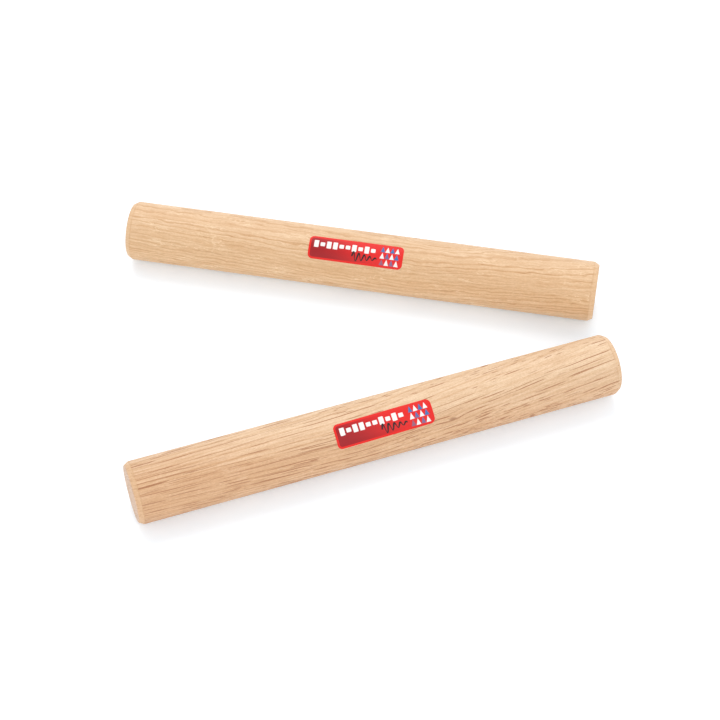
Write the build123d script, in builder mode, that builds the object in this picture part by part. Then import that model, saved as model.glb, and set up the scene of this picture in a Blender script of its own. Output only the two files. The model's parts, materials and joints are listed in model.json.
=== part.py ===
"""A pair of claves: two equal round hardwood sticks, each with a printed self-adhesive label.

The pair lies on a flat surface as it is put down after playing, the sticks in an open V with
their right-hand ends close together. Millimetres, +Z up, the surface at z = 0, +X along the
pair, and the player at -Y. The origin is on the surface, at the middle of the pair.

Four solids, one to a node: each stick is one turned solid with no core, cap or joint inside,
and each label is one film of vinyl that is wrapped on its stick and can be peeled off.
"""

import os
from math import cos, radians, sin

from build123d import *

# Turned stick: a plain rod with a flat cone cut on each end so that it doesn't split.
stick_length = 200.0
stick_diameter = 25.0
chamfer_length = 2.1  # along the stick
chamfer_depth = 1.2  # in from the stick's side

# Label: a rounded rectangle of film, measured flat, before it is wrapped on.
label_length = 40.0  # along the stick
label_height = 10.0  # around the stick
label_corner_radius = 2.0
label_thickness = 0.12
glue_thickness = 0.02  # the adhesive under the film, left as a gap

# How the pair lies: the middle of the front stick, seen from the middle of the rear one.
front_stick_shift = 6.5  # to the right
front_stick_distance = 90.0  # towards the player

stick_radius = stick_diameter / 2


class Clave:
    """One stick's place and the place of the label on it."""

    def __init__(self, name, x, y, heading, label_shift, label_lean, label_skew):
        self.name = name
        self.x, self.y = x, y  # middle of the stick
        self.heading = heading  # degrees anticlockwise from +X, seen from above
        self.label_shift = label_shift  # along the stick, from its middle
        self.label_lean = label_lean  # degrees from straight up towards the player
        self.label_skew = label_skew  # degrees that the label is stuck on askew

    def half_span(self, turn):
        """How far the stick reaches from its middle along +X (turn 0) or +Y (turn 90)."""
        along = abs(cos(radians(self.heading - turn)))
        across = abs(sin(radians(self.heading - turn)))
        side_edge = (stick_length / 2 - chamfer_length) * along + stick_radius * across
        end_edge = stick_length / 2 * along + (stick_radius - chamfer_depth) * across
        return max(side_edge, end_edge)

    def axis_plane(self):
        """Plane through the middle of the stick: x along the stick and z straight up."""
        return Plane(origin=(self.x, self.y, stick_radius)).rotated((0, 0, self.heading))

    def label_plane(self):
        """The axis plane leant over, so that its z passes through the label's middle."""
        upright = self.axis_plane()
        outward = upright.z_dir.rotate(Axis(upright.origin, upright.x_dir), self.label_lean)
        origin = upright.origin + upright.x_dir * self.label_shift
        return Plane(origin, x_dir=upright.x_dir, z_dir=outward)


claves = [
    Clave("rear", 0, 0, -10.4, label_shift=-1.1, label_lean=28.5, label_skew=0),
    Clave("front", front_stick_shift, -front_stick_distance, 19.1,
          label_shift=0.3, label_lean=34.5, label_skew=0.9),
]


def middle(low_side, high_side):
    return (min(low_side) + max(high_side)) / 2


# Both sticks move together, so that the origin comes to the middle of the pair.
middle_x = middle([c.x - c.half_span(0) for c in claves], [c.x + c.half_span(0) for c in claves])
middle_y = middle([c.y - c.half_span(90) for c in claves], [c.y + c.half_span(90) for c in claves])
for clave in claves:
    clave.x -= middle_x
    clave.y -= middle_y


def turned_stick(clave):
    """A rod turned from half its outline: two flat ends, two cones and a straight side."""
    axis_plane = clave.axis_plane()
    half_length = stick_length / 2
    with BuildPart() as stick:
        with BuildSketch(axis_plane):
            with BuildLine():
                Polyline(
                    (-half_length, 0),
                    (-half_length, stick_radius - chamfer_depth),
                    (-half_length + chamfer_length, stick_radius),
                    (half_length - chamfer_length, stick_radius),
                    (half_length, stick_radius - chamfer_depth),
                    (half_length, 0),
                    close=True,
                )
            make_face()
        revolve(axis=Axis(axis_plane.origin, axis_plane.x_dir))
    return stick


def wrapped_label(clave):
    """The film: a tube round the stick, cut to the label's outline seen square on."""
    label_plane = clave.label_plane()
    seen_height = 2 * stick_radius * sin(label_height / 2 / stick_radius)
    with BuildPart() as label:
        with BuildSketch(label_plane.offset(stick_radius / 2)):
            with Locations(Rotation(0, 0, clave.label_skew)):
                RectangleRounded(label_length, seen_height, label_corner_radius)
        extrude(amount=stick_radius)
        across_the_stick = Plane(label_plane.origin, z_dir=label_plane.x_dir)
        with BuildSketch(across_the_stick):
            Circle(stick_radius + glue_thickness + label_thickness)
            Circle(stick_radius + glue_thickness, mode=Mode.SUBTRACT)
        extrude(amount=label_length, both=True, mode=Mode.INTERSECT)
    return label


os.makedirs("parts", exist_ok=True)
for clave in claves:
    for piece, name in (
        (turned_stick(clave), f"{clave.name}_clave"),
        (wrapped_label(clave), f"{clave.name}_label"),
    ):
        piece.part.label = name
        export_step(piece.part, f"parts/{name}.step")
        print(name, "volume", round(piece.part.volume, 2), "mm3")
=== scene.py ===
"""A pair of claves as they lie after playing: two turned oak sticks, each with a printed label.

Metres, +Z up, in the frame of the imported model. The grain is worked out in millimetres.
"""

import json
from math import atan2, cos, pi, radians, sin, tau

import bmesh
import bpy
from mathutils import Euler, Matrix, Vector


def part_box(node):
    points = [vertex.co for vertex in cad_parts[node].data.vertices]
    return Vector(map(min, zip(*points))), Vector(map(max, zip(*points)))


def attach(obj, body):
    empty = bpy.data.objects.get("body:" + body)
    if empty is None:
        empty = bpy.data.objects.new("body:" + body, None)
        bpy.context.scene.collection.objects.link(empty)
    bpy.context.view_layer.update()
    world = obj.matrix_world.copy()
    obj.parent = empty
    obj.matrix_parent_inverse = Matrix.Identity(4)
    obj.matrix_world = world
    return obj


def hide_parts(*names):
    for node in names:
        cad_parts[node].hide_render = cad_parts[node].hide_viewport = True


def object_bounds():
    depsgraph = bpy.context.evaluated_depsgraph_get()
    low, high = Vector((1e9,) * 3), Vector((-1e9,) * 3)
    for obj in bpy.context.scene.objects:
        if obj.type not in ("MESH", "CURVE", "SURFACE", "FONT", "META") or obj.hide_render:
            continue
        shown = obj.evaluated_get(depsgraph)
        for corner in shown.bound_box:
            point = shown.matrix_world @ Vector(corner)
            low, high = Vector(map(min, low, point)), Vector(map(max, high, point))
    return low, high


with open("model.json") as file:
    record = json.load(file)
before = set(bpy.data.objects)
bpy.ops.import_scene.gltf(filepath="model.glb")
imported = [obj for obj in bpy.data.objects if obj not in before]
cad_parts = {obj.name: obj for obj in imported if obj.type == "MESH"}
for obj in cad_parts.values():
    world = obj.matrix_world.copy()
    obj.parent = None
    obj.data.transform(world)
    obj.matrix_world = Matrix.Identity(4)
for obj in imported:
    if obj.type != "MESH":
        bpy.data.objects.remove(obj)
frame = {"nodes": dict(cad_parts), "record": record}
cad_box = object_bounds()
mm = 0.001

# ---------------------------------------------------------------------------------------------
# Claves
#
# Each is one straight stick of white oak, turned round, sanded smooth and left bare. A flat
# cone is cut on each end so that it doesn't split. Nothing is inside it or fixed through it.
# The two are cut from different boards, so each has its own rings, pores and colour.
# ---------------------------------------------------------------------------------------------

bevel_length = 2.1 * mm  # along the stick
bevel_depth = 1.2 * mm  # in from its side
eased_edge = 0.4 * mm  # how far sanding has rounded the bevel's two edges
side_row = 1.0 * mm  # between rows of points along the stick
end_row = 1.6 * mm  # between rings of points on the end faces
points_around = 396
corner_steps = 4  # straight pieces in each eased corner
pore_depth = 0.012 * mm
spring_wood_depth = 0.006 * mm
grain_radius = 12.5  # a stick's radius in millimetres, for the grain


def rounded_corner(before, corner, after, reach):
    """The corner of an outline eased by a curve that starts and ends that far from it."""
    start = corner + (before - corner).normalized() * reach
    finish = corner + (after - corner).normalized() * reach
    for step in range(corner_steps + 1):
        t = step / corner_steps
        yield start * (1 - t) ** 2 + corner * 2 * t * (1 - t) + finish * t**2


def stick_outline(length, radius):
    """Half the stick's outline from one end's centre to the other's: x along it and y out."""
    half_length = length / 2
    centre = Vector((-half_length, 0, 0))
    rim = Vector((-half_length, radius - bevel_depth, 0))
    shoulder = Vector((-half_length + bevel_length, radius, 0))
    middle = Vector((0, radius, 0))
    rings = round(rim.y / end_row)
    left_half = [centre.lerp(rim, ring / rings) for ring in range(rings)]
    left_half += rounded_corner(centre, rim, shoulder, eased_edge)
    left_half += rounded_corner(rim, shoulder, middle, eased_edge)
    rows = round((half_length - bevel_length) / side_row)
    left_half += [shoulder.lerp(middle, row / rows) for row in range(1, rows)]
    right_half = [Vector((-point.x, point.y, 0)) for point in reversed(left_half)]
    return left_half + [middle] + right_half


def node(tree, kind, inputs=None, **settings):
    """A new node with its settings, and its inputs by name or number: a value or a socket."""
    made = tree.nodes.new(kind)
    for name, value in settings.items():
        setattr(made, name, value)
    for key, value in (inputs or {}).items():
        if isinstance(value, bpy.types.NodeSocket):
            tree.links.new(value, made.inputs[key])
        else:
            made.inputs[key].default_value = value
    return made


def maths(tree, operation, *values):
    return node(tree, "ShaderNodeMath", dict(enumerate(values)), operation=operation).outputs[0]


def stretched(tree, place, size):
    """The place divided by the size that a pattern's cells have along, across and outwards."""
    cells = node(tree, "ShaderNodeVectorMath", {0: place, 1: size}, operation="DIVIDE")
    return cells.outputs[0]


def noise(tree, place, size, detail=2.0, roughness=0.5):
    """Even noise from 0 to 1 that varies over that many millimetres each way."""
    inputs = {"Vector": stretched(tree, place, size), "Scale": 1.0}
    inputs |= {"Detail": detail, "Roughness": roughness}
    return node(tree, "ShaderNodeTexNoise", inputs, noise_dimensions="3D")


def ramp(tree, value, start, finish, low=0.0, high=1.0):
    """Smoothly from low, at start and before, to high, at finish and beyond."""
    inputs = {"Value": value, "From Min": start, "From Max": finish}
    inputs |= {"To Min": low, "To Max": high}
    made = node(tree, "ShaderNodeMapRange", inputs, interpolation_type="SMOOTHSTEP")
    return made.outputs[0]


def blend_colours(tree, factor, low, high, mode="MIX"):
    inputs = {0: factor, 6: low, 7: high}
    made = node(tree, "ShaderNodeMix", inputs, data_type="RGBA", blend_type=mode)
    return made.outputs[2]


class Board:
    """How the wood of one stick grew, in millimetres, and how it was cut.

    The values below are the same for both boards.
    """

    # The sapwood's depth is also how far the painted light and shade spread round the stick.
    sapwood_and_painted_light_depth = 20.0
    valley_bottom = 20.0  # how far each way the bend's valley is rounded
    swelling_reach = 3.2  # in the swelling's own sizes
    knot_core = (0.25, 1.0)
    ring_noise, ring_spread = 0.45, 1.6
    spring_rise, spring_fall = (0.0, 0.06), (0.10, 0.50)  # shares of a year
    poorest_year = 0.35
    sapwood_spring, sapwood_vessels = -0.25, -0.3
    vessel_starts, vessel_start_size = 220.0, (300.0, 1.6, 1.6)
    vessel_growth = 0.6
    vessel_wall = (-0.03, 0.08)
    ray_line, ray_groups = (0.01, 0.06), (0.54, 0.66)
    ray_group_size = (14.0, 4.0, 4.0)
    fibre_size, speck_size, patch_size = (10.0, 0.36, 0.36), (0.9, 0.28, 0.28), (60.0, 5.0, 5.0)

    def __init__(self, **facts):
        self.__dict__.update(facts)


def oak_fields(tree, place, board):
    """Where the grain, rings, pores and rays are in the solid wood, at a place in millimetres.

    x runs along the stick. The rings are round the tree's heart, which is far outside the
    stick, and the grain bends with the trunk, so the same wood shows straight lines on one
    side of the stick, pointed arches on the next, and rings on its ends.
    """
    turned = node(
        tree,
        "ShaderNodeVectorRotate",
        {"Vector": place, "Angle": radians(-board.bark_lean)},
        rotation_type="X_AXIS",
    ).outputs[0]
    axes = node(tree, "ShaderNodeSeparateXYZ", {0: turned}).outputs
    along, across, outward = axes["X"], axes["Y"], axes["Z"]

    # The youngest wood, towards the bark, is paler and closer. The same ramp is also painted
    # light: the bark side is turned up and back, so the top of the stick is painted paler, as lit,
    # and its front and underside darker, as painted shade. The trunk tapers, so there is more of it
    # at one end of the stick.
    bark_side_and_painted_light = maths(tree, "MULTIPLY_ADD", along, board.taper, outward)
    sapwood = ramp(tree, bark_side_and_painted_light, board.sapwood_from, board.sapwood_from + board.sapwood_and_painted_light_depth)

    # The trunk's bend: a shallow valley in the grain, with its own slope on each side.
    from_valley = maths(tree, "SUBTRACT", along, board.valley_at)
    bottom = board.valley_bottom**2
    arm = maths(tree, "SQRT", maths(tree, "MULTIPLY_ADD", from_valley, from_valley, bottom))
    low_side = maths(tree, "MULTIPLY", outward, -1 / grain_radius)
    spread = maths(tree, "MULTIPLY_ADD", low_side, board.fan, board.valley_spread)
    slope = maths(tree, "MULTIPLY_ADD", low_side, -board.fan, board.slope)
    bend = maths(tree, "MULTIPLY", along, slope)
    bend = maths(tree, "MULTIPLY_ADD", arm, spread, bend)

    # Slow and quick waves in the grain.
    slow = noise(tree, place, board.slow_wave_size, 1.0).outputs["Color"]
    quick = noise(tree, place, board.quick_wave_size, 1.0).outputs["Color"]
    slow_axes = node(tree, "ShaderNodeSeparateXYZ", {0: slow}).outputs
    quick_axes = node(tree, "ShaderNodeSeparateXYZ", {0: quick}).outputs
    for wave, height in ((slow_axes[0], board.slow_wave), (quick_axes[0], board.quick_wave)):
        bend = maths(tree, "MULTIPLY_ADD", maths(tree, "SUBTRACT", wave, 0.5), height, bend)
    for wave, height in ((slow_axes[1], board.slow_wave), (quick_axes[1], board.quick_wave)):
        across = maths(tree, "MULTIPLY_ADD", maths(tree, "SUBTRACT", wave, 0.5), height, across)
    outward = maths(tree, "SUBTRACT", outward, bend)

    # A swelling under the bark, or a pin knot, pushes the grain aside round itself. A board's last
    # one is its knot, where it has one.
    for where, lean, size, push in board.swellings:
        lean = radians(lean)
        top = (where, -grain_radius * sin(lean), grain_radius * cos(lean))
        away = node(tree, "ShaderNodeVectorMath", {0: place, 1: top}, operation="SUBTRACT")
        oval = stretched(tree, away.outputs[0], size)
        gap = node(tree, "ShaderNodeVectorMath", {0: oval}, operation="LENGTH").outputs["Value"]
        near = ramp(tree, gap, 0.0, board.swelling_reach, 1.0, 0.0)
        outward = maths(tree, "MULTIPLY_ADD", near, push, outward)
    core = ramp(tree, gap, *board.knot_core, 1.0, 0.0)
    knot = maths(tree, "MULTIPLY", core, board.knot_dark)

    # Growth rings round the heart, some wide and some narrow.
    from_heart = maths(tree, "ADD", outward, board.heart_distance)
    square = maths(tree, "MULTIPLY_ADD", across, across, maths(tree, "POWER", from_heart, 2.0))
    radius = maths(tree, "SUBTRACT", maths(tree, "SQRT", square), board.heart_distance)
    years = maths(tree, "DIVIDE", radius, board.ring_width)
    uneven = node(
        tree,
        "ShaderNodeTexNoise",
        {"W": years, "Scale": board.ring_noise, "Detail": 1.0},
        noise_dimensions="1D",
    ).outputs[0]
    years = maths(tree, "MULTIPLY_ADD", uneven, board.ring_spread, years)
    season = maths(tree, "FRACT", years)
    year = maths(tree, "FLOOR", years)
    vigour = node(
        tree, "ShaderNodeTexWhiteNoise", {"W": year}, noise_dimensions="1D"
    ).outputs["Value"]
    begun = ramp(tree, season, *board.spring_rise)
    not_over = ramp(tree, season, *board.spring_fall, 1.0, 0.0)
    spring = maths(tree, "MULTIPLY", begun, not_over)
    growth = ramp(tree, vigour, 0.0, 1.0, board.poorest_year, 1.0)
    spring = maths(tree, "MULTIPLY", spring, growth)
    closer = maths(tree, "MULTIPLY_ADD", sapwood, board.sapwood_spring, 1.0)
    spring = maths(tree, "MULTIPLY", spring, closer)

    # Open vessels, cut lengthways into short grooves: many in the spring wood, few elsewhere.
    grain = node(
        tree, "ShaderNodeCombineXYZ", {"X": along, "Y": across, "Z": outward}
    ).outputs[0]
    # They start at different places along the stick.
    spread = noise(tree, grain, board.vessel_start_size, 1.0).outputs[0]
    started = maths(tree, "MULTIPLY_ADD", spread, board.vessel_starts, along)
    tubes = node(
        tree, "ShaderNodeCombineXYZ", {"X": started, "Y": across, "Z": outward}
    ).outputs[0]
    vessels = 0.0
    for size, start, widest in board.vessels:
        cells = node(
            tree,
            "ShaderNodeTexVoronoi",
            {"Vector": stretched(tree, tubes, size), "Scale": 1.0},
            voronoi_dimensions="3D",
            feature="F1",
        )
        chance = node(tree, "ShaderNodeSeparateXYZ", {0: cells.outputs["Color"]}).outputs[0]
        chance = maths(tree, "MULTIPLY_ADD", spring, board.spring_vessels, chance)
        chance = maths(tree, "MULTIPLY_ADD", sapwood, board.sapwood_vessels, chance)
        width = ramp(tree, chance, start, start + board.vessel_growth, 0.0, widest)
        inside = maths(tree, "SUBTRACT", width, cells.outputs["Distance"])
        vessels = maths(tree, "MAXIMUM", vessels, ramp(tree, inside, *board.vessel_wall))

    # Rays: thin sheets that run outwards from the heart. Where they break the surface they show
    # as short pale curls, in groups.
    curls = noise(tree, grain, board.curl_size, 1.0).outputs[0]
    off_line = maths(tree, "ABSOLUTE", maths(tree, "SUBTRACT", curls, 0.5))
    on_line = ramp(tree, off_line, *board.ray_line, 1.0, 0.0)
    groups = noise(tree, place, board.ray_group_size, 1.0).outputs[0]
    rays = maths(tree, "MULTIPLY", on_line, ramp(tree, groups, *board.ray_groups))

    def tone(size, detail):
        """A soft light and dark pattern that follows the grain."""
        return ramp(tree, noise(tree, grain, size, detail, 0.6).outputs[0], 0.28, 0.72)

    return {
        "sapwood": sapwood,
        "spring": spring,
        "vessels": vessels,
        "rays": rays,
        "lines": tone(board.line_size, 2.0),
        "fibres": tone(board.fibre_size, 2.0),
        "specks": tone(board.speck_size, 1.0),
        "patches": tone(board.patch_size, 1.0),
        "knot": knot,
        "along": along,
    }


def oak_material(name, stick, board):
    """Bare sanded oak: the solid wood's own pattern on whatever surface cuts through it.

    The sapwood ramp also paints light: paler on the stick's top, darker at its front and underside.
    """
    material = bpy.data.materials.new(name)
    material.use_nodes = True
    tree = material.node_tree
    shader = tree.nodes["Principled BSDF"]
    coordinates = tree.nodes.new("ShaderNodeTexCoord").outputs["Object"]
    place = node(
        tree,
        "ShaderNodeMapping",
        {
            "Vector": coordinates,
            "Location": stick.centre,
            "Rotation": (0, 0, stick.heading),
            "Scale": (mm, mm, mm),
        },
        vector_type="TEXTURE",
    ).outputs[0]
    wood = oak_fields(tree, place, board)

    # Painted light and shade: the sapwood ramp paints the top of the stick paler, as lit, and its
    # front and underside darker, as in shade.
    colour = blend_colours(tree, wood["sapwood"], board.summer_wood, board.sap_colour)
    for layer in ("spring", "patches", "lines", "fibres", "specks"):
        shaded = blend_colours(tree, 1.0, colour, getattr(board, layer), "MULTIPLY")
        colour = blend_colours(tree, wood[layer], colour, shaded)
    shown = maths(tree, "MULTIPLY", wood["rays"], board.ray_strength)
    colour = blend_colours(tree, shown, colour, board.ray_colour)
    shown = maths(tree, "MULTIPLY", wood["vessels"], board.vessel_strength)
    colour = blend_colours(tree, shown, colour, board.vessel_colour)
    colour = blend_colours(tree, wood["knot"], colour, board.knot_colour)

    # The sanding line of the bevel: how far, in millimetres, a place is from the stick's end. It
    # wanders a little, as on work held to the sander by hand.
    from_middle = maths(tree, "ABSOLUTE", wood["along"])
    from_end = maths(tree, "SUBTRACT", stick.length / 2 / mm, from_middle)
    wander_size, wander_reach = (0.8, 0.8, 0.8), 0.7
    wander = noise(tree, place, wander_size, 2.0, 0.6).outputs[0]
    wander = maths(tree, "SUBTRACT", wander, 0.5)
    from_end = maths(tree, "MULTIPLY_ADD", wander, wander_reach, from_end)
    cut, blur = bevel_length / mm, 0.15
    bevel = ramp(tree, from_end, cut - blur, cut + blur, 1.0, 0.0)
    face = ramp(tree, from_end, 0.1, 0.3, 1.0, 0.0)

    # A thin darker line runs along each edge of the bevel, rubbed away in places.
    to_edge = maths(tree, "ABSOLUTE", maths(tree, "SUBTRACT", from_end, cut))
    edge = ramp(tree, to_edge, 0.1, 0.4, 1.0, 0.0)
    inner_edge = ramp(tree, maths(tree, "ABSOLUTE", from_end), 0.1, 0.45, 1.0, 0.0)
    edge = maths(tree, "MAXIMUM", edge, inner_edge)
    rubbed_size, rubbed_away = (2.4, 2.4, 2.4), 0.2
    rubbed = noise(tree, place, rubbed_size, 1.0).outputs[0]
    left_on = ramp(tree, rubbed, 0.38, 0.62, rubbed_away, 1.0)
    edge = maths(tree, "MULTIPLY", edge, left_on)

    # The end grain shows its rings, and its vessels as dots that are closest in the spring wood.
    dot_size, spring_dots = (0.35, 0.35, 0.35), 0.16
    dots = noise(tree, place, dot_size, 2.0, 0.7).outputs[0]
    dots = maths(tree, "MULTIPLY_ADD", wood["spring"], spring_dots, dots)
    dotted = blend_colours(tree, ramp(tree, dots, 0.46, 0.74), board.end_wood, board.end_dots)
    for where, strength, tint in (
        (bevel, 0.45, board.bevel_wood),
        (face, 0.85, dotted),
        (edge, 0.35, board.edge_wood),
    ):
        colour = blend_colours(tree, maths(tree, "MULTIPLY", where, strength), colour, tint)
    tree.links.new(colour, shader.inputs["Base Color"])

    # Open vessels are rougher than sanded fibres, and rays are smooth.
    roughness = 0.52
    for part, change in (("vessels", 0.25), ("rays", -0.10), ("fibres", 0.10)):
        roughness = maths(tree, "MULTIPLY_ADD", wood[part], change, roughness)
    tree.links.new(roughness, shader.inputs["Roughness"])

    # Vessels are open grooves, and sanding takes more off the soft spring wood than off a ray.
    height = maths(tree, "MULTIPLY", wood["vessels"], -1.0)
    for part, change in (("fibres", 0.35), ("spring", -0.25), ("rays", 0.15)):
        height = maths(tree, "MULTIPLY_ADD", wood[part], change, height)
    relief = {"Height": height, "Strength": 0.5, "Distance": 0.06 * mm}
    bump = node(tree, "ShaderNodeBump", relief)
    tree.links.new(bump.outputs[0], shader.inputs["Normal"])
    return material


def tree_input(tree, name, kind, value=None):
    """A named input of a Geometry Nodes tree."""
    socket = tree.interface.new_socket(name=name, in_out="INPUT", socket_type=kind)
    if value is not None:
        socket.default_value = value


def turning_tree(name, board):
    """Turns an outline round the X axis, opens the pores, and puts the stick in its place."""
    tree = bpy.data.node_groups.new(name, "GeometryNodeTree")
    tree_input(tree, "Outline", "NodeSocketGeometry")
    tree_input(tree, "Points Around", "NodeSocketInt", points_around)
    tree_input(tree, "Pore Depth", "NodeSocketFloat", pore_depth)
    tree_input(tree, "Spring Wood Depth", "NodeSocketFloat", spring_wood_depth)
    tree_input(tree, "Centre", "NodeSocketVector")
    tree_input(tree, "Heading", "NodeSocketFloat")
    tree_input(tree, "Material", "NodeSocketMaterial")
    tree.interface.new_socket(name="Stick", in_out="OUTPUT", socket_type="NodeSocketGeometry")
    given = tree.nodes.new("NodeGroupInput").outputs

    outline = node(tree, "GeometryNodeMeshToCurve", {0: given["Outline"]})
    keep_outline = tree.nodes.new("GeometryNodeCaptureAttribute")
    keep_outline.capture_items.new("VECTOR", "Outline Point")
    position = tree.nodes.new("GeometryNodeInputPosition").outputs[0]
    tree.links.new(outline.outputs[0], keep_outline.inputs["Geometry"])
    tree.links.new(position, keep_outline.inputs["Outline Point"])

    circle = node(tree, "GeometryNodeCurvePrimitiveCircle", {"Resolution": given["Points Around"]})
    index = tree.nodes.new("GeometryNodeInputIndex").outputs[0]
    share = maths(tree, "DIVIDE", index, given["Points Around"])
    keep_turn = tree.nodes.new("GeometryNodeCaptureAttribute")
    keep_turn.capture_items.new("FLOAT", "Turn")
    tree.links.new(circle.outputs[0], keep_turn.inputs["Geometry"])
    tree.links.new(maths(tree, "MULTIPLY", share, tau), keep_turn.inputs["Turn"])

    swept = node(
        tree,
        "GeometryNodeCurveToMesh",
        {"Curve": keep_turn.outputs["Geometry"], "Profile Curve": keep_outline.outputs["Geometry"]},
    )
    point = node(tree, "ShaderNodeSeparateXYZ", {0: keep_outline.outputs["Outline Point"]}).outputs
    turn = keep_turn.outputs["Turn"]
    turned_point = node(
        tree,
        "ShaderNodeCombineXYZ",
        {
            "X": point["X"],
            "Y": maths(tree, "MULTIPLY", point["Y"], maths(tree, "COSINE", turn)),
            "Z": maths(tree, "MULTIPLY", point["Y"], maths(tree, "SINE", turn)),
        },
    ).outputs[0]
    turned = node(
        tree, "GeometryNodeSetPosition", {"Geometry": swept.outputs[0], "Position": turned_point}
    )
    closed = node(
        tree, "GeometryNodeMergeByDistance", {"Geometry": turned.outputs[0], "Distance": 0.001 * mm}
    )
    outside_out = node(tree, "GeometryNodeFlipFaces", {0: closed.outputs[0]})

    # The surface sinks a little at each open vessel and in the softer spring wood.
    place = node(
        tree, "ShaderNodeVectorMath", {0: position, "Scale": 1 / mm}, operation="SCALE"
    ).outputs[0]
    wood = oak_fields(tree, place, board)
    sunk = maths(tree, "MULTIPLY", wood["vessels"], given["Pore Depth"])
    sunk = maths(tree, "MULTIPLY_ADD", wood["spring"], given["Spring Wood Depth"], sunk)
    normal = tree.nodes.new("GeometryNodeInputNormal").outputs[0]
    offset = node(
        tree,
        "ShaderNodeVectorMath",
        {0: normal, "Scale": maths(tree, "MULTIPLY", sunk, -1.0)},
        operation="SCALE",
    ).outputs[0]
    opened = node(
        tree, "GeometryNodeSetPosition", {"Geometry": outside_out.outputs[0], "Offset": offset}
    )
    turn_to = node(tree, "ShaderNodeCombineXYZ", {"Z": given["Heading"]}).outputs[0]
    placed = node(
        tree,
        "GeometryNodeTransform",
        {"Geometry": opened.outputs[0], "Translation": given["Centre"], "Rotation": turn_to},
    )
    smooth = node(tree, "GeometryNodeSetShadeSmooth", {"Geometry": placed.outputs[0]})
    real = node(tree, "GeometryNodeRealizeInstances", {0: smooth.outputs[0]})
    finished = node(
        tree,
        "GeometryNodeSetMaterial",
        {"Geometry": real.outputs[0], "Material": given["Material"]},
    )
    made = tree.nodes.new("NodeGroupOutput")
    tree.links.new(finished.outputs[0], made.inputs["Stick"])
    return tree


def made_with(tree, name, mesh, values):
    """A plain mesh object: the tree's result on that mesh, with the tree's inputs by name."""
    worked = bpy.data.objects.new(name, mesh)
    bpy.context.scene.collection.objects.link(worked)
    modifier = worked.modifiers.new(tree.name, "NODES")
    modifier.node_group = tree
    for item in tree.interface.items_tree:
        if item.in_out == "INPUT" and item.name in values:
            modifier[item.identifier] = values[item.name]
    bpy.context.view_layer.update()
    view = bpy.context.evaluated_depsgraph_get()
    plain = bpy.data.meshes.new_from_object(worked.evaluated_get(view), depsgraph=view)
    plain.name = name
    worked.modifiers.clear()
    worked.data = plain
    return worked


def face_outwards(piece):
    """Turns the faces of a closed piece so that they all point out of it."""
    shape = bmesh.new()
    shape.from_mesh(piece.data)
    bmesh.ops.recalc_face_normals(shape, faces=shape.faces[:])
    shape.to_mesh(piece.data)
    shape.free()


class Stick:
    """Where one stick lies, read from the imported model's mounts on its two end faces."""

    def __init__(self, name, body):
        self.name, self.body = name, body
        mounts = {mount["name"]: mount for mount in frame["record"]["mounts"]}
        left = Vector(mounts[f"{name}_clave_left_end"]["pos_m"])
        right = Vector(mounts[f"{name}_clave_right_end"]["pos_m"])
        self.centre = (left + right) / 2
        self.length = (right - left).length
        self.heading = atan2(right.y - left.y, right.x - left.x)
        low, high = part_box(f"{name}_clave")
        self.radius = (high.z - low.z) / 2

    def local(self, point):
        """A point of the row in the stick's own frame: x along it and z straight up."""
        return Euler((0, 0, self.heading)).to_matrix().inverted() @ (point - self.centre)


sticks = [Stick("rear", "rear_stick"), Stick("front", "front_stick")]

# Each board's bark_lean and where its sapwood starts also place the painted light: paler on the
# stick's top and back, darker at its front and underside.
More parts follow.
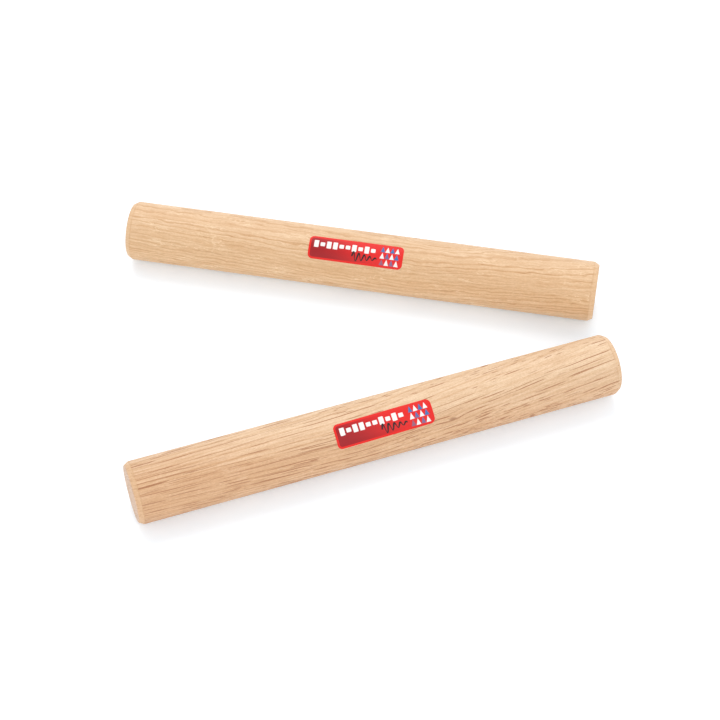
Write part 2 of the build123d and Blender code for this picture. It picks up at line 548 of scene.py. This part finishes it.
boards = {
    "rear": Board(
        bark_lean=-40,
        sapwood_from=-6.0,
        taper=-0.02,
        heart_distance=85.0,
        ring_width=1.5,
        valley_at=14.0,
        valley_spread=0.06,
        slope=0.012,
        fan=0.01,
        slow_wave_size=(30.0, 8.0, 8.0),
        slow_wave=2.2,
        quick_wave_size=(6.0, 2.2, 2.2),
        quick_wave=1.6,
        swellings=[
            (34.0, -38, (8.0, 3.2, 3.2), 5.5),
            (-10.0, -48, (3.0, 2.2, 2.2), -2.0),
            (-29.0, 36, (2.4, 1.0, 1.0), 0.6),
        ],
        knot_dark=0.0,
        vessels=[((26.0, 1.1, 0.58), 0.50, 0.32), ((7.0, 0.36, 0.36), 0.75, 0.40)],
        spring_vessels=0.40,
        curl_size=(3.6, 0.9, 0.9),
        line_size=(26.0, 1.0, 1.0),
        ray_strength=0.50,
        ray_colour=(0.88, 0.67, 0.44, 1),
        # The first of these two colours is also painted shade at the front and underside, the
        # second painted light on the top.
        summer_wood=(0.810, 0.575, 0.360, 1),
        sap_colour=(0.835, 0.615, 0.415, 1),
        spring=(0.79, 0.67, 0.54, 1),
        patches=(0.97, 0.94, 0.90, 1),
        lines=(0.90, 0.84, 0.77, 1),
        fibres=(0.90, 0.84, 0.77, 1),
        specks=(0.90, 0.875, 0.84, 1),
        vessel_strength=0.45,
        vessel_colour=(0.46, 0.25, 0.12, 1),
        knot_colour=(0.35, 0.18, 0.09, 1),
        end_wood=(0.77, 0.55, 0.38, 1),
        end_dots=(0.48, 0.27, 0.15, 1),
        bevel_wood=(0.76, 0.50, 0.29, 1),
        edge_wood=(0.50, 0.27, 0.12, 1),
    ),
    "front": Board(
        bark_lean=-52,
        sapwood_from=-10.0,
        taper=0.09,
        heart_distance=70.0,
        ring_width=1.6,
        valley_at=-4.0,
        valley_spread=0.065,
        slope=0.05,
        fan=0.03,
        slow_wave_size=(40.0, 10.0, 10.0),
        slow_wave=1.6,
        quick_wave_size=(10.0, 2.4, 2.4),
        quick_wave=0.35,
        swellings=[(27.5, 59, (2.4, 0.9, 0.9), 0.9)],
        knot_dark=0.7,
        vessels=[((36.0, 1.3, 0.54), 0.0, 0.36), ((12.0, 0.5, 0.36), 0.45, 0.40)],
        spring_vessels=0.42,
        curl_size=(3.0, 0.8, 0.8),
        line_size=(34.0, 1.2, 1.2),
        ray_strength=0.20,
        ray_colour=(0.88, 0.66, 0.46, 1),
        # The first of these two colours is also painted shade at the front and underside, the
        # second painted light on the top.
        summer_wood=(0.770, 0.510, 0.315, 1),
        sap_colour=(0.89, 0.69, 0.495, 1),
        spring=(0.86, 0.76, 0.66, 1),
        patches=(0.93, 0.88, 0.84, 1),
        lines=(0.92, 0.87, 0.81, 1),
        fibres=(0.90, 0.85, 0.79, 1),
        specks=(0.86, 0.82, 0.77, 1),
        vessel_strength=1.0,
        vessel_colour=(0.38, 0.165, 0.075, 1),
        knot_colour=(0.30, 0.13, 0.06, 1),
        end_wood=(0.78, 0.57, 0.43, 1),
        end_dots=(0.50, 0.29, 0.18, 1),
        bevel_wood=(0.76, 0.50, 0.29, 1),
        edge_wood=(0.50, 0.27, 0.12, 1),
    ),
}

for stick in sticks:
    outline = stick_outline(stick.length, stick.radius)
    wire = bpy.data.meshes.new(f"{stick.name}_outline")
    wire.from_pydata(outline, [(i, i + 1) for i in range(len(outline) - 1)], [])
    material = oak_material(f"{stick.name}_oak", stick, boards[stick.name])
    turned = made_with(
        turning_tree(f"{stick.name}_turning", boards[stick.name]),
        f"{stick.name}_turned_clave",
        wire,
        {
            "Points Around": points_around,
            "Pore Depth": pore_depth,
            "Spring Wood Depth": spring_wood_depth,
            "Centre": stick.centre,
            "Heading": stick.heading,
            "Material": material,
        },
    )
    face_outwards(turned)
    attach(turned, stick.body)
    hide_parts(f"{stick.name}_clave")

# ---------------------------------------------------------------------------------------------
# Labels
#
# One on each clave: a glossy vinyl film with its own glue, cut with round corners, printed in
# white, black and blue on a red ground and pressed round the stick by hand. The print is a plain
# pattern: the beat that claves play, a decaying sound wave, and a block of small triangles.
# ---------------------------------------------------------------------------------------------

film_length, film_height, film_corner = 40.0 * mm, 10.0 * mm, 2.0 * mm
border = 0.85 * mm
strip = 0.4 * mm  # the widest flat strip that may stand for the round film
arc_steps = 8  # straight pieces in each of the film's corners

# Each layer's underside and top above the wood.
film_layer = (0.02 * mm, 0.100 * mm)
panel_layer = (0.090 * mm, 0.115 * mm)
ink_layer = (0.110 * mm, 0.130 * mm)
black_layer = (0.110 * mm, 0.139 * mm)

strokes, beats = (0, 2, 3, 6, 8), 10
beat_start, beat_pitch, beat_level = -16.9 * mm, 2.68 * mm, 1.55 * mm
stroke_size, rest_size = (1.95 * mm, 3.1 * mm), (1.95 * mm, 1.7 * mm)
triangle_columns, triangle_rows = 4, 3
triangle_base, triangle_height = 1.95 * mm, 2.5 * mm
triangle_pitch = (2.05 * mm, 2.75 * mm)
triangle_block = (14.3 * mm, 0.0)


class Label:
    """Where one label is on its stick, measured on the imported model's own film."""

    def __init__(self, stick, skew):
        self.stick, self.skew = stick, skew
        film = frame["nodes"][f"{stick.name}_label"]
        points = [stick.local(vertex.co) for vertex in film.data.vertices]
        along = [point.x for point in points]
        leans = [atan2(-point.y, point.z) for point in points]
        self.shift = (min(along) + max(along)) / 2
        self.lean = (min(leans) + max(leans)) / 2

    def frame(self):
        """The label's own axes in the row: x along it, y up it and z straight out of it."""
        turn = Matrix.Rotation(self.stick.heading, 4, "Z") @ Matrix.Rotation(self.lean, 4, "X")
        middle = Matrix.Translation((self.shift, 0, 0))
        return Matrix.Translation(self.stick.centre) @ turn @ middle


labels = [Label(sticks[0], skew=0.0), Label(sticks[1], skew=radians(0.9))]


def rounded_sheet(name, length, height, corner):
    """A flat rectangle with round corners, scored into narrow strips so that it can bend."""
    shape = bmesh.new()
    outline = []
    for quarter, (side_x, side_y) in enumerate(((1, 1), (-1, 1), (-1, -1), (1, -1))):
        for step in range(arc_steps + 1):
            angle = (quarter + step / arc_steps) * pi / 2
            x = side_x * (length / 2 - corner) + corner * cos(angle)
            y = side_y * (height / 2 - corner) + corner * sin(angle)
            outline.append(shape.verts.new((x, y, 0)))
    shape.faces.new(outline)
    for size, axis, gap in ((height, (0, 1, 0), strip), (length, (1, 0, 0), 5 * strip)):
        cuts = round(size / gap)
        for cut in range(1, cuts):
            bmesh.ops.bisect_plane(
                shape,
                geom=shape.verts[:] + shape.edges[:] + shape.faces[:],
                plane_co=Vector(axis) * (cut / cuts - 0.5) * size,
                plane_no=axis,
            )
    sheet = bpy.data.meshes.new(name)
    shape.to_mesh(sheet)
    shape.free()
    return sheet


def sound_wave(name):
    """The flat stroke of a click dying away, drawn as by a brush pen."""
    start, finish, level = -1.4 * mm, 9.1 * mm, -1.9 * mm
    steps, swings, near = 160, 4.5, 0.002
    loudness, last_sound = 1.7 * mm, 0.35 * mm
    pen, pen_turn, pen_lag = 0.24, 0.10, 0.8

    def middle(t):
        height = loudness * max(0, 1 - t) + last_sound
        return Vector((start + (finish - start) * t, level + height * sin(swings * tau * t), 0))

    points = []
    for step in range(steps + 1):
        t = step / steps
        run = (middle(t + near) - middle(t - near)).normalized()
        half_width = (pen + pen_turn * sin(swings * tau * t + pen_lag)) * mm
        aside = Vector((-run.y, run.x, 0)) * half_width
        points += [middle(t) - aside, middle(t) + aside]
    faces = [(2 * i, 2 * i + 2, 2 * i + 3, 2 * i + 1) for i in range(steps)]
    stroke = bpy.data.meshes.new(name)
    stroke.from_pydata(points, [], faces)
    return stroke


def printing_tree(name, flat_print):
    """Thickens a flat print, bends it round the stick and puts it in its place."""
    tree = bpy.data.node_groups.new(name, "GeometryNodeTree")
    tree_input(tree, "Sheet", "NodeSocketGeometry")
    for size in ("Low", "High", "Radius", "Lean", "Shift", "Skew", "Heading"):
        tree_input(tree, size, "NodeSocketFloat")
    tree_input(tree, "Centre", "NodeSocketVector")
    tree_input(tree, "Material", "NodeSocketMaterial")
    tree.interface.new_socket(name="Print", in_out="OUTPUT", socket_type="NodeSocketGeometry")
    given = tree.nodes.new("NodeGroupInput").outputs

    flat = flat_print(tree, given)
    thickness = maths(tree, "SUBTRACT", given["High"], given["Low"])
    upwards = node(tree, "ShaderNodeCombineXYZ", {"Z": thickness}).outputs[0]
    raised = node(tree, "GeometryNodeExtrudeMesh", {"Mesh": flat, "Offset": upwards})
    raised.inputs["Individual"].default_value = False
    underside = node(tree, "GeometryNodeFlipFaces", {0: flat})
    both = tree.nodes.new("GeometryNodeJoinGeometry")
    tree.links.new(raised.outputs[0], both.inputs[0])
    tree.links.new(underside.outputs[0], both.inputs[0])
    slab = node(
        tree, "GeometryNodeMergeByDistance", {"Geometry": both.outputs[0], "Distance": 0.001 * mm}
    )

    position = tree.nodes.new("GeometryNodeInputPosition").outputs[0]
    skewed = node(
        tree,
        "ShaderNodeVectorRotate",
        {"Vector": position, "Angle": given["Skew"]},
        rotation_type="Z_AXIS",
    ).outputs[0]
    flat_axes = node(tree, "ShaderNodeSeparateXYZ", {0: skewed}).outputs
    angle = maths(tree, "DIVIDE", flat_axes["Y"], given["Radius"])
    angle = maths(tree, "SUBTRACT", given["Lean"], angle)
    out = maths(tree, "ADD", maths(tree, "ADD", flat_axes["Z"], given["Low"]), given["Radius"])
    back = maths(tree, "MULTIPLY", maths(tree, "SINE", angle), -1.0)
    bent_point = node(
        tree,
        "ShaderNodeCombineXYZ",
        {
            "X": maths(tree, "ADD", flat_axes["X"], given["Shift"]),
            "Y": maths(tree, "MULTIPLY", out, back),
            "Z": maths(tree, "MULTIPLY", out, maths(tree, "COSINE", angle)),
        },
    ).outputs[0]
    bent = node(
        tree, "GeometryNodeSetPosition", {"Geometry": slab.outputs[0], "Position": bent_point}
    )
    turn_to = node(tree, "ShaderNodeCombineXYZ", {"Z": given["Heading"]}).outputs[0]
    placed = node(
        tree,
        "GeometryNodeTransform",
        {"Geometry": bent.outputs[0], "Translation": given["Centre"], "Rotation": turn_to},
    )
    flat_shaded = node(
        tree, "GeometryNodeSetShadeSmooth", {"Geometry": placed.outputs[0], "Shade Smooth": False}
    )
    real = node(tree, "GeometryNodeRealizeInstances", {0: flat_shaded.outputs[0]})
    finished = node(
        tree,
        "GeometryNodeSetMaterial",
        {"Geometry": real.outputs[0], "Material": given["Material"]},
    )
    made = tree.nodes.new("NodeGroupOutput")
    tree.links.new(finished.outputs[0], made.inputs["Print"])
    return tree


def one_mark(tree, size, roundness):
    """A small scored patch: square at roundness 0, an ellipse at 1."""
    patch = node(tree, "GeometryNodeMeshGrid", {"Size X": 2.0, "Size Y": 2.0})
    for side in ("Vertices X", "Vertices Y"):
        patch.inputs[side].default_value = 9
    position = tree.nodes.new("GeometryNodeInputPosition").outputs[0]
    x, y, _ = node(tree, "ShaderNodeSeparateXYZ", {0: position}).outputs

    def drawn_in(value, other):
        square = maths(tree, "MULTIPLY", other, other)
        inner = maths(tree, "SQRT", maths(tree, "MULTIPLY_ADD", square, -0.5 * roundness, 1.0))
        return maths(tree, "MULTIPLY", value, inner)

    half_x, half_y = size[0] / 2, size[1] / 2
    drawn = node(
        tree,
        "ShaderNodeCombineXYZ",
        {
            "X": maths(tree, "MULTIPLY", drawn_in(x, y), half_x),
            "Y": maths(tree, "MULTIPLY", drawn_in(y, x), half_y),
        },
    ).outputs[0]
    return node(
        tree, "GeometryNodeSetPosition", {"Geometry": patch.outputs["Mesh"], "Position": drawn}
    ).outputs[0]


def given_sheet(tree, given):
    """The flat mesh that the printing tree is given."""
    return given["Sheet"]


def beat_marks(tree, given):
    """A row of tall bars, one for each stroke of the beat, and short ones for the rests."""
    row = node(tree, "GeometryNodeMeshLine", {"Count": beats}, mode="OFFSET")
    row.inputs["Start Location"].default_value = (beat_start, beat_level, 0)
    row.inputs["Offset"].default_value = (beat_pitch, 0, 0)
    index = tree.nodes.new("GeometryNodeInputIndex").outputs[0]
    stroke = maths(tree, "COMPARE", index, float(strokes[0]), 0.5)
    for beat in strokes[1:]:
        stroke = maths(tree, "ADD", stroke, maths(tree, "COMPARE", index, float(beat), 0.5))
    rest = maths(tree, "SUBTRACT", 1.0, stroke)
    marks = tree.nodes.new("GeometryNodeJoinGeometry")
    for chosen, size, roundness in ((stroke, stroke_size, 0.15), (rest, rest_size, 0.25)):
        placed = node(
            tree,
            "GeometryNodeInstanceOnPoints",
            {
                "Points": row.outputs[0],
                "Selection": chosen,
                "Instance": one_mark(tree, size, roundness),
            },
        )
        tree.links.new(placed.outputs[0], marks.inputs[0])
    return node(tree, "GeometryNodeRealizeInstances", {0: marks.outputs[0]}).outputs[0]


def triangle_marks(colour):
    """Every second triangle of the block, starting with the first or the second."""

    def drawn(tree, given):
        block = node(
            tree,
            "GeometryNodeMeshGrid",
            {
                "Size X": triangle_pitch[0] * (triangle_columns - 1),
                "Size Y": triangle_pitch[1] * (triangle_rows - 1),
            },
        )
        block.inputs["Vertices X"].default_value = triangle_columns
        block.inputs["Vertices Y"].default_value = triangle_rows
        index = tree.nodes.new("GeometryNodeInputIndex").outputs[0]
        parity = maths(tree, "MODULO", index, 2.0)
        chosen = maths(tree, "COMPARE", parity, float(colour), 0.5)
        patch = node(
            tree, "GeometryNodeMeshCircle", {"Radius": 1.0}, fill_type="TRIANGLE_FAN"
        )
        patch.inputs["Vertices"].default_value = 3
        scored = node(tree, "GeometryNodeSubdivideMesh", {"Mesh": patch.outputs["Mesh"]})
        scored.inputs["Level"].default_value = 2
        # The circle's three points are 1.5 apart from base to tip, and its base is 3 ** 0.5.
        tip_up = node(
            tree,
            "GeometryNodeTransform",
            {"Geometry": scored.outputs[0], "Rotation": (0, 0, pi / 2)},
        )
        triangle = node(
            tree,
            "GeometryNodeTransform",
            {
                "Geometry": tip_up.outputs[0],
                "Translation": (0, -triangle_height / 6, 0),
                "Scale": (triangle_base / 3**0.5, triangle_height / 1.5, 1),
            },
        )
        placed = node(
            tree,
            "GeometryNodeInstanceOnPoints",
            {
                "Points": block.outputs["Mesh"],
                "Selection": chosen,
                "Instance": triangle.outputs[0],
            },
        )
        real = node(tree, "GeometryNodeRealizeInstances", {0: placed.outputs[0]})
        moved = node(
            tree,
            "GeometryNodeTransform",
            {"Geometry": real.outputs[0], "Translation": (*triangle_block, 0)},
        )
        return moved.outputs[0]

    return drawn


def ink_material(name, label, left, right, fade):
    """Printed ink with a soft gloss, from one colour at the left to another at the right."""
    material = bpy.data.materials.new(name)
    material.use_nodes = True
    tree = material.node_tree
    shader = tree.nodes["Principled BSDF"]
    place = node(
        tree,
        "ShaderNodeMapping",
        {
            "Vector": tree.nodes.new("ShaderNodeTexCoord").outputs["Object"],
            "Location": label.frame().translation,
            "Rotation": label.frame().to_euler(),
            "Scale": (mm, mm, mm),
        },
        vector_type="TEXTURE",
    ).outputs[0]
    axes = node(tree, "ShaderNodeSeparateXYZ", {0: place}).outputs
    fade_slant = 1.1
    aslant = maths(tree, "MULTIPLY_ADD", axes["Y"], fade_slant, axes["X"])
    colour = blend_colours(tree, ramp(tree, aslant, *fade), left, right)

    # The ink is a little uneven, the film is dulled where it was handled, and the wood under it
    # shows as a faint ripple.
    thinnest, thickest = 0.94, 1.05
    grain = noise(tree, place, (0.22, 0.22, 0.22), 2.0, 0.6).outputs[0]
    mottle = ramp(tree, grain, 0.2, 0.8, thinnest, thickest)
    mottle = node(tree, "ShaderNodeCombineXYZ", {0: mottle, 1: mottle, 2: mottle}).outputs[0]
    colour = blend_colours(tree, 1.0, colour, mottle, "MULTIPLY")
    tree.links.new(colour, shader.inputs["Base Color"])
    cleanest, dulling = 0.34, 0.16
    handled = noise(tree, place, (6.0, 2.0, 2.0), 3.0, 0.6).outputs[0]
    roughness = maths(tree, "MULTIPLY_ADD", handled, dulling, cleanest)
    tree.links.new(roughness, shader.inputs["Roughness"])
    ripple = noise(tree, place, (1.6, 1.6, 1.6), 1.0).outputs[0]
    relief = {"Height": ripple, "Strength": 0.25, "Distance": 0.02 * mm}
    bump = node(tree, "ShaderNodeBump", relief)
    tree.links.new(bump.outputs[0], shader.inputs["Normal"])
    shader.inputs["Specular IOR Level"].default_value = 0.25
    return material


border_red = (0.74, 0.018, 0.014, 1)
panel_left, panel_right = (0.33, 0.010, 0.014, 1), (0.72, 0.020, 0.018, 1)
white_ink = (0.84, 0.82, 0.80, 1)
black_ink = (0.020, 0.014, 0.016, 1)
blue_left, blue_right = (0.30, 0.12, 0.19, 1), (0.055, 0.17, 0.42, 1)
panel_fade, blue_fade = (-19.0, 9.0), (10.5, 14.5)  # millimetres from the label's middle

prints = {
    "film": (printing_tree("film_print", given_sheet), film_layer, border_red, border_red),
    "panel": (printing_tree("panel_print", given_sheet), panel_layer, panel_left, panel_right),
    "beat": (printing_tree("beat_print", beat_marks), ink_layer, white_ink, white_ink),
    "wave": (printing_tree("wave_print", given_sheet), black_layer, black_ink, black_ink),
    "blue_triangles": (
        printing_tree("blue_triangle_print", triangle_marks(0)),
        ink_layer,
        blue_left,
        blue_right,
    ),
    "white_triangles": (
        printing_tree("white_triangle_print", triangle_marks(1)),
        ink_layer,
        white_ink,
        white_ink,
    ),
}

for label in labels:
    stick = label.stick
    for part, (tree, (low, high), left, right) in prints.items():
        name = f"{stick.name}_label_{part}"
        if part == "film":
            sheet = rounded_sheet(name, film_length, film_height, film_corner)
        elif part == "panel":
            size = (film_length - 2 * border, film_height - 2 * border, film_corner - border)
            sheet = rounded_sheet(name, *size)
        elif part == "wave":
            sheet = sound_wave(name)
        else:
            sheet = bpy.data.meshes.new(name)
        fade = blue_fade if part == "blue_triangles" else panel_fade
        piece = made_with(
            tree,
            name,
            sheet,
            {
                "Low": low,
                "High": high,
                "Radius": stick.radius,
                "Lean": label.lean,
                "Shift": label.shift,
                "Skew": label.skew,
                "Heading": stick.heading,
                "Centre": stick.centre,
                "Material": ink_material(name, label, left, right, fade),
            },
        )
        face_outwards(piece)
        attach(piece, stick.body)
        if part == "film":
            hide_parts(f"{stick.name}_label")

# ---------------------------------------------------------------------------------------------
# Room
#
# A plain white table that glows faintly, a soft white studio all round, a softbox overhead and
# another in front, and a lit backdrop behind.
# ---------------------------------------------------------------------------------------------

table = bpy.data.meshes.new("table_top")
reach = 3.0  # from the middle to each side
table.from_pydata(
    [(-reach, -reach, 0), (reach, -reach, 0), (reach, reach, 0), (-reach, reach, 0)],
    [],
    [(0, 1, 2, 3)],
)
table_top = bpy.data.objects.new("table_top", table)
bpy.context.scene.collection.objects.link(table_top)
white = bpy.data.materials.new("white_table")
white.use_nodes = True
paint = white.node_tree.nodes["Principled BSDF"]
paint.inputs["Base Color"].default_value = (0.93, 0.93, 0.94, 1)
paint.inputs["Roughness"].default_value = 0.9
paint.inputs["Specular IOR Level"].default_value = 0.0
paint.inputs["Emission Color"].default_value = (0.48, 0.78, 1.0, 1)
paint.inputs["Emission Strength"].default_value = 0.23
table.materials.append(white)

world = bpy.data.worlds.new("white_studio")
bpy.context.scene.world = world
world.use_nodes = True
sky = world.node_tree.nodes["Background"]
sky.inputs["Color"].default_value = (1.0, 1.0, 1.0, 1)
sky.inputs["Strength"].default_value = 0.76


def soft_lamp(name, place, target, size, power):
    """A broad flat lamp that looks at the target."""
    light = bpy.data.lights.new(name, "AREA")
    light.shape = "RECTANGLE"
    light.size, light.size_y = size
    light.energy = power
    lamp = bpy.data.objects.new(name, light)
    lamp.location = place
    lamp.rotation_euler = (Vector(target) - Vector(place)).to_track_quat("-Z", "Y").to_euler()
    bpy.context.scene.collection.objects.link(lamp)


softbox, backdrop = (0.9, 0.9), (3.0, 1.2)
soft_lamp("overhead_softbox", (-0.12, 0.6, 1.05), target=(0, 0, 0), size=softbox, power=6.0)
soft_lamp("front_softbox", (0.1, -0.92, 0.77), target=(0, 0, 0), size=softbox, power=4.6)
soft_lamp("lit_backdrop", (0.5, 1.6, 0.6), target=(0, 0, 0.6), size=backdrop, power=5.0)

bpy.context.scene.view_settings.view_transform = "Standard"

elevation = radians(49.65)
distance = 0.7661
left_of_middle, before_middle, aim_height = 0.0025, 0.0035, 0.0125
low, high = cad_box
aim_x = (low.x + high.x) / 2 - left_of_middle
aim_y = (low.y + high.y) / 2 - before_middle
aim = Vector((aim_x, aim_y, aim_height))
camera = bpy.data.cameras.new("camera")
camera.lens = 94.5
camera.sensor_width = 36.0
viewer = bpy.data.objects.new("camera", camera)
viewer.location = aim + Vector((0, -cos(elevation), sin(elevation))) * distance
viewer.rotation_euler = (aim - viewer.location).to_track_quat("-Z", "Y").to_euler()
bpy.context.scene.collection.objects.link(viewer)
bpy.context.scene.camera = viewer
